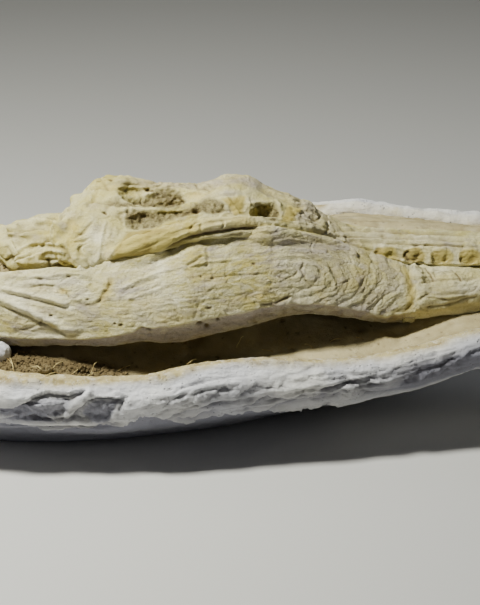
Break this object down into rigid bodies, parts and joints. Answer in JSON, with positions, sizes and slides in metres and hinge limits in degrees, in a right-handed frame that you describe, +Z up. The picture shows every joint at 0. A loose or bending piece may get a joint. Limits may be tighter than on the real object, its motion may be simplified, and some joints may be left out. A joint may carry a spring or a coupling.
{
  "type": "fossil skull in plaster field jacket",
  "caption": "Long-snouted marine reptile skull with its lower jaw, bedded in sediment in a boat-shaped plaster field jacket.",
  "frame": {"origin": "under the middle of the jacket's plan, on the surface that it stands on", "axes": "+X from the back of the skull to the tip of the snout, +Z up, the skull's right side faces -Y"},
  "size_m": [1.0472, 0.3876, 0.2831],
  "materials": {
    "bone": "matt mineralised bone, ivory with ochre and grey stains",
    "plaster": "matt white plaster over sacking, hand laid",
    "sediment": "matt sandy sediment, crumbly at the rims"
  },
  "bodies": {
    "root": {"cranium": "bone", "maxilla": "bone", "premaxilla": "bone", "jugal_right": "bone", "jugal_left": "bone", "quadrate_right": "bone", "quadrate_left": "bone", "occiput": "bone", "occipital_condyle": "bone", "mandible_ramus_right": "bone", "mandible_ramus_left": "bone", "articular_right": "bone", "articular_left": "bone", "dentary": "bone", "plaster_jacket": "plaster", "rear_prop": "plaster", "sediment_bed": "sediment"}
  },
  "joints": []
}
